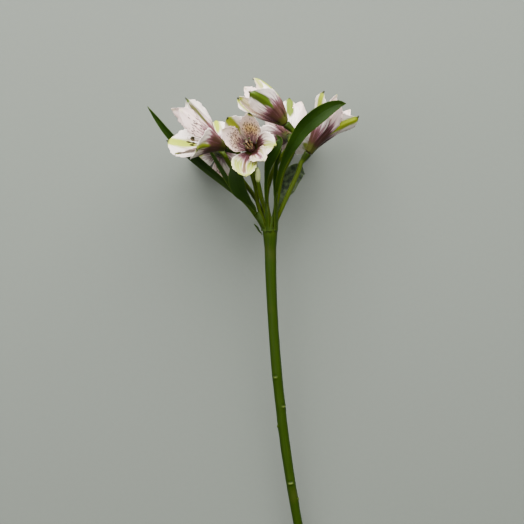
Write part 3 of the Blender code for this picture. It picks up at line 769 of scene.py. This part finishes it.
def add_pedicel(name, bloom, finish):
    """A stalk from the stem's top to a bloom, with the ribbed ovary at its end."""
    axis = unit(bloom.axis)
    neck = np.asarray(bloom.base, float) - axis * OVARY_LENGTH
    stalk = stalk_line(bloom.foot, bloom.stalk, neck, axis, PEDICEL_ROWS)
    steps = np.linspace(0, 1, OVARY_ROWS + 1)[1:]
    line = np.vstack((stalk, neck + steps[:, None] * axis * OVARY_LENGTH))
    share = np.concatenate((np.zeros(PEDICEL_ROWS), steps))
    at, sizes = zip(*OVARY_RADII)
    run = np.concatenate((np.linspace(0, 1, PEDICEL_ROWS), np.ones(len(steps))))
    thin, thick = PEDICEL_RADII
    stalk_radii = thin + (thick - thin) * ease(0.1, 0.6, run) + PEDICEL_FLARE * (1 - ease(0, 0.1, run))
    radii = np.where(share > 0, np.interp(share, at, sizes), stalk_radii)[:, None]
    ovary = ease(0.02, 0.4, share)[:, None]
    turn = around(PEDICEL_SIDES)[None, :]
    ridge = np.abs(np.cos(3 * turn))
    surface = radii * (1 + OVARY_RIB * (ridge ** 0.7 - 0.6) * ovary + 0.02 * np.cos(6 * turn) * (1 - ovary))
    shape = Shape()
    shape.tube(line, surface, PEDICEL_SIDES, layers(ovary, ovary * ridge ** 3, 0), start=((0.8, 0.05),),
               end=((0.85, 0.15), (0.4, 0.2)))
    shape.piece(f"stalk_{name}", [finish], "stem_skin", f"pedicel_{name}")


def add_bud(stalk_skin, bud_skin):
    """The small bud at the middle of the umbel: three outer tepals closed round it, on its own stalk."""
    axis, base = unit(BUD_AXIS), np.asarray(BUD_BASE, float)
    route = stalk_line(BUD_FOOT, BUD_STALK, base, axis, BUD_STALK_ROWS)
    thin, flare = BUD_STALK_RADII
    shape = Shape()
    shape.tube(route, thin + flare * ease(0.88, 1, np.linspace(0, 1, BUD_STALK_ROWS)), 20, (0.2, 0, 0),
               start=((0.8, 0.05),), end=((0.7, 0.1),))
    shape.piece("stalk_bud", [stalk_skin], "stem_skin", "pedicel_bud")
    s = np.linspace(0, 1, BUD_ROWS)[:, None]
    at, sizes = zip(*BUD_RADII)
    turn = around(BUD_SIDES)[None, :]
    edge = np.abs(np.sin(1.5 * turn + 0.5 * s))
    surface = np.interp(s, at, sizes) * (1 - 0.16 * hump(edge, 0.16) * ease(0.05, 0.3, s))
    tint = layers(hump(1 - edge, 0.06), ease(0.8, 1, s), 1 - ease(0, 0.25, s))
    shape = Shape()
    shape.tube(base + s * axis * BUD_LENGTH, surface, BUD_SIDES, tint, start=((0.7, 0.1),),
               end=((0.5, 0.05),))
    shape.piece("bud_closed", [bud_skin], "bud_skin", "bud")


# Leaves


def add_leaf(name, leaf, finish):
    """A leaf: it starts flat against the collar and then follows its line, with a groove along its midrib. t
    is the share of its length, v the share of its half width, and x the millimetres from its midrib."""
    centre, way, _, _ = stem_top()
    out = out_from_stem(leaf.foot)
    foot = centre + out * leaf.ring - way * leaf.down
    line = curve_through((foot, foot + way * leaf.clasp, *leaf.line), LEAF_ROWS + 1)
    fine = random.Random(name)
    t = np.linspace(0, 1, LEAF_ROWS + 1)
    v = np.linspace(-1, 1, LEAF_COLUMNS + 1)
    grid = np.zeros((LEAF_ROWS + 1, LEAF_COLUMNS + 1, 3))
    rise = leaf.foot_width + (1 - leaf.foot_width) * ease(leaf.stalk, leaf.widest, t)
    half = np.maximum(leaf.half_width * rise * (1 - t ** 5) ** 0.8, TIP_HALF_WIDTH)
    waves = ripple(fine, 3, t), ripple(fine, 3, t)
    for i, (point, way) in enumerate(zip(line, directions(line))):
        turned = ease(0.02, 0.2, t[i])
        face = unit(bend(leaf.facing, t[i])) * turned - out * (1 - turned)
        side = unit(np.cross(way, face))
        face = np.cross(side, way)
        x = v * half[i]
        lift = leaf.fold * half[i] * (v * v - 0.4) - MIDRIB_GROOVE * hump(x, 0.5) * min(half[i] / 2, 1)
        lift += 0.05 * half[i] * v ** 2 * np.where(v > 0, waves[0][i], waves[1][i])
        grid[i] = point + side * x[:, None] + face * lift[:, None]
    t, half, v = t[:, None], half[:, None], v[None, :]
    x = v * half
    middle = (LEAF_THICKNESS - RIM_THICKNESS) * (1 - v ** 4) * (1 + 0.5 * hump(x, 0.6))
    run = layers(v * leaf.half_width, t * length_of(line)[-1])
    # A band along the edge, which the finish paints paler: partly the leaf's own edge and partly painted rim
    # light
    margin = hump((1 - np.abs(v)) * half, 0.32)
    midrib = hump(x, 0.35) * (1 - ease(0.8, 1, t))
    tint = layers(margin, midrib, 1 - ease(0.1, 0.55, t))
    tip = ease(0.93, 1, t)
    shape = Shape()
    shape.sheet(grid, RIM_THICKNESS + middle, run, (tint, layers(tip, 0 * x, leaf.gloss)),
                (tint, layers(tip, 0 * x, 0)))
    shape.piece(f"blade_{name}", [finish], "leaf_blade", name)


# Finishes


def linear(code):
    """A colour given as sRGB hex, in linear light."""
    parts = [int(code[k:k + 2], 16) / 255 for k in (1, 3, 5)]
    return (*(p / 12.92 if p <= 0.04045 else ((p + 0.055) / 1.055) ** 2.4 for p in parts), 1)


def output_of(node):
    """The first output of a node that is in use."""
    return next(output for output in node.outputs if output.enabled)


def add(tree, kind, links=None, **settings):
    """Adds a node. links gives its inputs a value, a hex colour, another node or one of its outputs."""
    node = tree.nodes.new("ShaderNode" + kind)
    for key, value in settings.items():
        setattr(node, key, value)
    for key, value in (links or {}).items():
        if isinstance(value, bpy.types.Node):
            value = output_of(value)
        if isinstance(value, bpy.types.NodeSocket):
            tree.links.new(value, node.inputs[key])
        else:
            node.inputs[key].default_value = linear(value) if isinstance(value, str) else value
    return node


def new_finish(name, ior, roughness=0.5, **shader_values):
    """A new material, its node tree and its Principled shader."""
    made = bpy.data.materials.new(name)
    made.use_nodes = True
    shader = made.node_tree.nodes["Principled BSDF"]
    shader.inputs["Roughness"].default_value = roughness
    shader.inputs["IOR"].default_value = ior
    shader.inputs["Metallic"].default_value = 0
    for key, value in shader_values.items():
        shader.inputs[key.replace("_", " ")].default_value = value
    return made, made.node_tree, shader


def masks(tree, name):
    """The three masks that a mesh carries under this name."""
    read = add(tree, "Attribute", attribute_name=name)
    return add(tree, "SeparateXYZ", {0: read.outputs["Vector"]}).outputs


def streaks_on(tree, run, wide, long, detail, fineness=0.5):
    """Soft lengthwise streaks, about so many millimetres wide and long."""
    place = add(tree, "Mapping", {"Vector": run, "Scale": (1 / wide, 1 / long, 1)})
    noise = add(tree, "TexNoise", {"Vector": place, "Scale": 1.0, "Detail": detail, "Roughness": fineness})
    return noise.outputs["Fac"]


def clouds_on(tree, size, detail):
    """Soft patches of about this size in millimetres, which don't follow the piece's length."""
    place = add(tree, "TexCoord").outputs["Object"]
    noise = add(tree, "TexNoise", {"Vector": place, "Scale": 1 / (size * MM), "Detail": detail})
    return noise.outputs["Fac"]


def veins_on(tree, run, gap, wander, wander_scale, edge, step):
    """Lengthwise veins, this many millimetres apart: their height, and a mask of their lines."""
    wave = add(tree, "TexWave", {"Vector": run, "Scale": WAVE_REPEAT / gap, "Distortion": wander,
                                 "Detail": 1.0, "Detail Scale": wander_scale})
    height = wave.outputs["Fac"]
    return height, add(tree, "MapRange", {"Value": height, "From Min": edge}, interpolation_type=step)


def broken_up(tree, mask, streaks, amount):
    """A mask made stronger and weaker along the streaks, by this much at most."""
    change = add(tree, "MapRange", {"Value": streaks, "From Min": 0.3, "From Max": 0.7,
                                    "To Min": -amount, "To Max": amount})
    return add(tree, "Math", {0: mask, 1: change}, operation="ADD")


def lay_over(tree, colour, *coats):
    """Lays coats over a colour, each given as its mask, how much of it covers at most, and its own colour."""
    for mask, most, coat in coats:
        amount = add(tree, "Math", {0: mask, 1: most}, operation="MULTIPLY")
        colour = add(tree, "Mix", {0: amount, 6: colour, 7: coat}, data_type="RGBA")
    return colour


def complete(tree, shader, colour, height, strength, relief, sheen=None):
    """Gives a shader its colour, its relief in millimetres, and a gloss that follows the sheen pattern."""
    bump = add(tree, "Bump", {"Height": height, "Strength": strength, "Distance": relief * MM})
    ends = {"Base Color": colour, "Normal": bump}
    if sheen is not None:
        glossy, dull = SKIN_ROUGHNESS
        ends["Roughness"] = add(tree, "MapRange", {"Value": sheen, "To Min": glossy, "To Max": dull})
    for name, node in ends.items():
        tree.links.new(output_of(node), shader.inputs[name])


def tepal_finish(name, ground, blush, vein_gap):
    """Thin waxy petal tissue, grown: pale with a blush in long streaks, veins that run lengthwise, a mauve
    flush from the base, a green stripe and point, and maroon dashes along the inner ring's veins."""
    made, tree, shader = new_finish(name, 1.42, Specular_IOR_Level=0.35)
    run = add(tree, "UVMap", uv_map="run")
    green, mauve, nib = masks(tree, "tint")
    zone, patch, deep = masks(tree, "spots")
    streaks = streaks_on(tree, run, 1.25, 16.667, 3.0, 0.6)
    veins, line = veins_on(tree, run, vein_gap, 1.2, 0.15, 0.62, "SMOOTHSTEP")
    colour = add(tree, "Mix", {0: streaks, 6: ground, 7: blush}, data_type="RGBA")
    colour = lay_over(tree, colour, (line, 0.16, VEIN_PINK), (patch, 0.85, PATCH_YELLOW))
    # The mauve flush is broken into streaks along the veins, browner at the base and olive at the claw
    reach = broken_up(tree, mauve, streaks, 0.36)
    flush = add(tree, "MapRange", {"Value": reach, "From Min": 0.1, "From Max": 0.75},
                interpolation_type="SMOOTHSTEP")
    depth = add(tree, "MapRange", {"Value": reach, "From Min": 0.45, "From Max": 1.05})
    olive = add(tree, "MapRange", {"Value": reach, "From Min": 1.15, "From Max": 1.7})
    flush_colour = add(tree, "Mix", {0: depth, 6: MAUVE, 7: MAUVE_BROWN}, data_type="RGBA")
    flush_colour = lay_over(tree, flush_colour, (olive, 1, CLAW_GREEN))
    # The green stripe and point, ragged along the streaks
    spread = broken_up(tree, green, streaks, 0.15)
    cover = add(tree, "MapRange", {"Value": spread, "From Min": 0.15, "From Max": 0.75},
                interpolation_type="SMOOTHSTEP")
    green_colour = add(tree, "Mix", {0: deep, 6: FRESH_GREEN, 7: DEEP_GREEN}, data_type="RGBA")
    # Dashes: one in each cell where the zone is strong enough
    wide, long = DASH_CELL
    place = add(tree, "Mapping", {"Vector": run, "Scale": (1 / wide, 1 / long, 1)})
    cells = add(tree, "TexVoronoi", {"Vector": place, "Scale": 1.0, "Randomness": 0.8},
                voronoi_dimensions="2D")
    dash = add(tree, "MapRange", {"Value": cells.outputs["Distance"], "From Min": 0.24, "From Max": 0.44,
                                  "To Min": 1.0, "To Max": 0.0})
    chance = add(tree, "SeparateXYZ", {0: cells.outputs["Color"]})
    kept = add(tree, "Math", {0: chance.outputs[0], 1: zone}, operation="LESS_THAN")
    dash = add(tree, "Math", {0: dash, 1: kept}, operation="MULTIPLY")
    colour = lay_over(tree, colour, (flush, 1, flush_colour), (cover, 1, green_colour),
                      (dash, 0.92, DASH_MAROON), (nib, 1, NIB_OLIVE))
    # Veins stand a little proud of the skin
    height = add(tree, "Math", {0: veins, 1: streaks}, operation="ADD")
    complete(tree, shader, colour, height, 0.4, 0.05, streaks)
    return made


def leaf_finish(name):
    """Leaf tissue with a thin wax cuticle: deep green, with parallel veins, a paler edge that is partly
    painted rim light, and a matt, grey-green underside."""
    made, tree, shader = new_finish(name, 1.45, Specular_IOR_Level=0.12)
    run = add(tree, "UVMap", uv_map="run")
    margin, midrib, foot = masks(tree, "tint")
    tip, _, upper = masks(tree, "spots")
    streaks = streaks_on(tree, run, 1.1111, 25, 3.0)
    patches = clouds_on(tree, 11.111, 2.0)
    veins, line = veins_on(tree, run, 0.85, 0.6, 0.1, 0.6, "LINEAR")
    top = add(tree, "Mix", {0: patches, 6: "#0C1E00", 7: "#1A3000"}, data_type="RGBA")
    top = lay_over(tree, top, (line, 0.16, "#2E4602"))
    mottle = clouds_on(tree, 3.8462, 2.0)
    mottle = add(tree, "MapRange", {"Value": mottle, "From Min": 0.38, "From Max": 0.66})
    under = add(tree, "Mix", {0: mottle, 6: "#10180C", 7: "#3C472C"}, data_type="RGBA")
    # The paler margin is partly the leaf's own edge and partly painted rim light
    colour = lay_over(tree, under, (upper, 1, top), (midrib, 0.3, "#0C1E00"), (foot, 0.8, "#263900"),
                      (margin, 0.3, "#56681E"), (tip, 0.5, "#2A3A08"))
    height = add(tree, "Math", {0: veins, 1: streaks}, operation="ADD")
    complete(tree, shader, colour, height, 0.5, 0.06, patches)
    return made


def stem_finish(name, dark, light, scar_colour):
    """Green stem skin, smooth and a little waxy, with fine lengthwise streaks and corky leaf scars."""
    made, tree, shader = new_finish(name, 1.45, Specular_IOR_Level=0.15)
    run = add(tree, "UVMap", uv_map="run")
    scar, groove, collar = masks(tree, "tint")
    streaks = streaks_on(tree, run, 0.625, 20, 4.0)
    patches = clouds_on(tree, 16.667, 3.0)
    worn = add(tree, "MapRange", {"Value": patches, "From Min": 0.55, "From Max": 0.75, "To Max": 0.35})
    # Fine rings round the collar
    along = add(tree, "SeparateXYZ", {0: run}).outputs[1]
    turn = add(tree, "Math", {0: along, 1: 2 * math.pi / RING_SPACING}, operation="MULTIPLY")
    wave = add(tree, "Math", {0: turn}, operation="SINE")
    ring = add(tree, "MapRange", {"Value": wave, "From Min": 0.3, "From Max": 1.0, "To Max": 0.6})
    ring = add(tree, "Math", {0: ring, 1: collar}, operation="MULTIPLY")
    colour = add(tree, "Mix", {0: streaks, 6: dark, 7: light}, data_type="RGBA")
    colour = lay_over(tree, colour, (worn, 1, "#3A3A0C"), (scar, 1, scar_colour), (groove, 0.5, "#141A02"),
                      (collar, 0.5, "#3E500C"), (ring, 1, "#1E2C04"))
    complete(tree, shader, colour, streaks, 0.5, 0.2, patches)
    return made


def grain_finish(name, dark, light, size, relief, roughness):
    """A fine-grained surface of two tones: pollen, thread or painted board. size is the grain's and relief
    how far it stands out, in millimetres."""
    made, tree, shader = new_finish(name, 1.45, roughness)
    grain = clouds_on(tree, size, 4.0)
    colour = add(tree, "Mix", {0: grain, 6: dark, 7: light}, data_type="RGBA")
    complete(tree, shader, colour, grain, 0.6, relief)
    return made


def bud_finish(name):
    """Young tepal tissue, closed and matt: pale green-white, with a green base and a green keel on each
    tepal."""
    made, tree, shader = new_finish(name, 1.42)
    run = add(tree, "UVMap", uv_map="run")
    keel, tip, base = masks(tree, "tint")
    streaks = streaks_on(tree, run, 0.55556, 6.6667, 3.0)
    ends = add(tree, "Math", {0: tip, 1: base}, operation="MAXIMUM")
    colour = add(tree, "Mix", {0: streaks, 6: "#98A65A", 7: "#CBCF92"}, data_type="RGBA")
    colour = lay_over(tree, colour, (keel, 0.5, "#7F9440"), (ends, 0.8, "#67801F"))
    complete(tree, shader, colour, streaks, 0.4, 0.1)
    return made


# Surroundings


def add_floor():
    mesh = bpy.data.meshes.new("floor")
    corners = [(x * FLOOR_HALF * MM, y * FLOOR_HALF * MM, 0) for x, y in ((-1, -1), (1, -1), (1, 1), (-1, 1))]
    mesh.from_pydata(corners, [], [(0, 1, 2, 3)])
    # Matt paint on board: plain and without shine. Its grain of 3 mm is coarser than real, so that it shows
    mesh.materials.append(grain_finish("floor_matt_paint", "#62675F", "#656A62", 3.0, 0.02, 0.9))
    floor = in_scene("floor", mesh)


def add_lamp(name, place, size, power):
    lamp = bpy.data.lights.new(name, "AREA")
    lamp.shape = "DISK"
    lamp.size = size * MM
    lamp.energy = power
    made = in_scene(name, lamp)
    made.location = np.array(place) * MM
    z = unit(np.asarray(place, float) - LAMP_AIM)
    x = unit(np.cross((0, 1, 0.01), z))
    made.rotation_mode = "QUATERNION"
    made.rotation_quaternion = Matrix((x, np.cross(z, x), z)).transposed().to_quaternion()


def add_camera():
    lens = bpy.data.cameras.new("camera")
    lens.sensor_width = SENSOR
    lens.lens = SENSOR * VIEW_HEIGHT / VIEW_WIDTH
    lens.clip_start, lens.clip_end = 0.05, 20
    camera = in_scene("camera", lens)
    camera.location = (np.array(VIEW_AT) + (0, 0, VIEW_HEIGHT)) * MM
    bpy.context.scene.camera = camera


def add_world():
    world = bpy.data.worlds.new("studio")
    bpy.context.scene.world = world
    world.use_nodes = True
    back = world.node_tree.nodes["Background"]
    back.inputs["Color"].default_value = linear(SKY_COLOUR)
    back.inputs["Strength"].default_value = SKY_STRENGTH


def main():
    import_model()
    # Petal tissue, thin and waxy: soft and satin. The inner ring is pinker, and its veins stand closer
    outer = tepal_finish("tepal_waxy_outer", "#FBF6E8", "#DEC6BE", 0.95)
    inner = tepal_finish("tepal_waxy_inner", "#FAEAE0", "#DAB0A8", 0.8)
    # Leaf tissue under a thin cuticle: deep green and satin above, greyer and dull below
    blade = leaf_finish("leaf_cuticle")
    # Grown skin, a little waxy: dark green and streaked on the stem, brighter and plainer on the young stalks
    stem = stem_finish("stem_skin_waxy", "#172600", "#263B00", "#566024")
    pedicel = stem_finish("pedicel_skin_smooth", "#2C3C06", "#46560E", "#263604")
    # Filaments: pale and matt. Their grain of 0.6 mm is coarser than real, so that it shows
    thread = grain_finish("filament_pale_thread", "#8E7A58", "#B49C78", 0.6, 0.02, 0.55)
    # Pollen: dark, powdery and dull. Its grains of 0.25 mm are coarser than real, so that they show
    pollen = grain_finish("anther_pollen_grains", "#2E2A12", "#4C4628", 0.25, 0.08, 0.85)
    # Young petal tissue, still closed: pale green and matt
    young = bud_finish("bud_skin_young")
    add_stem(stem)
    for name, bloom in BLOOMS.items():
        add_bloom(name, bloom, [outer, inner])
        add_stamens(name, bloom, [thread, pollen])
        add_pedicel(name, bloom, pedicel)
    add_bud(pedicel, young)
    for name, leaf in LEAVES.items():
        add_leaf(name, leaf, blade)
    add_floor()
    for name, (place, size, power) in LAMPS.items():
        add_lamp(name, place, size, power)
    add_world()
    add_camera()


main()
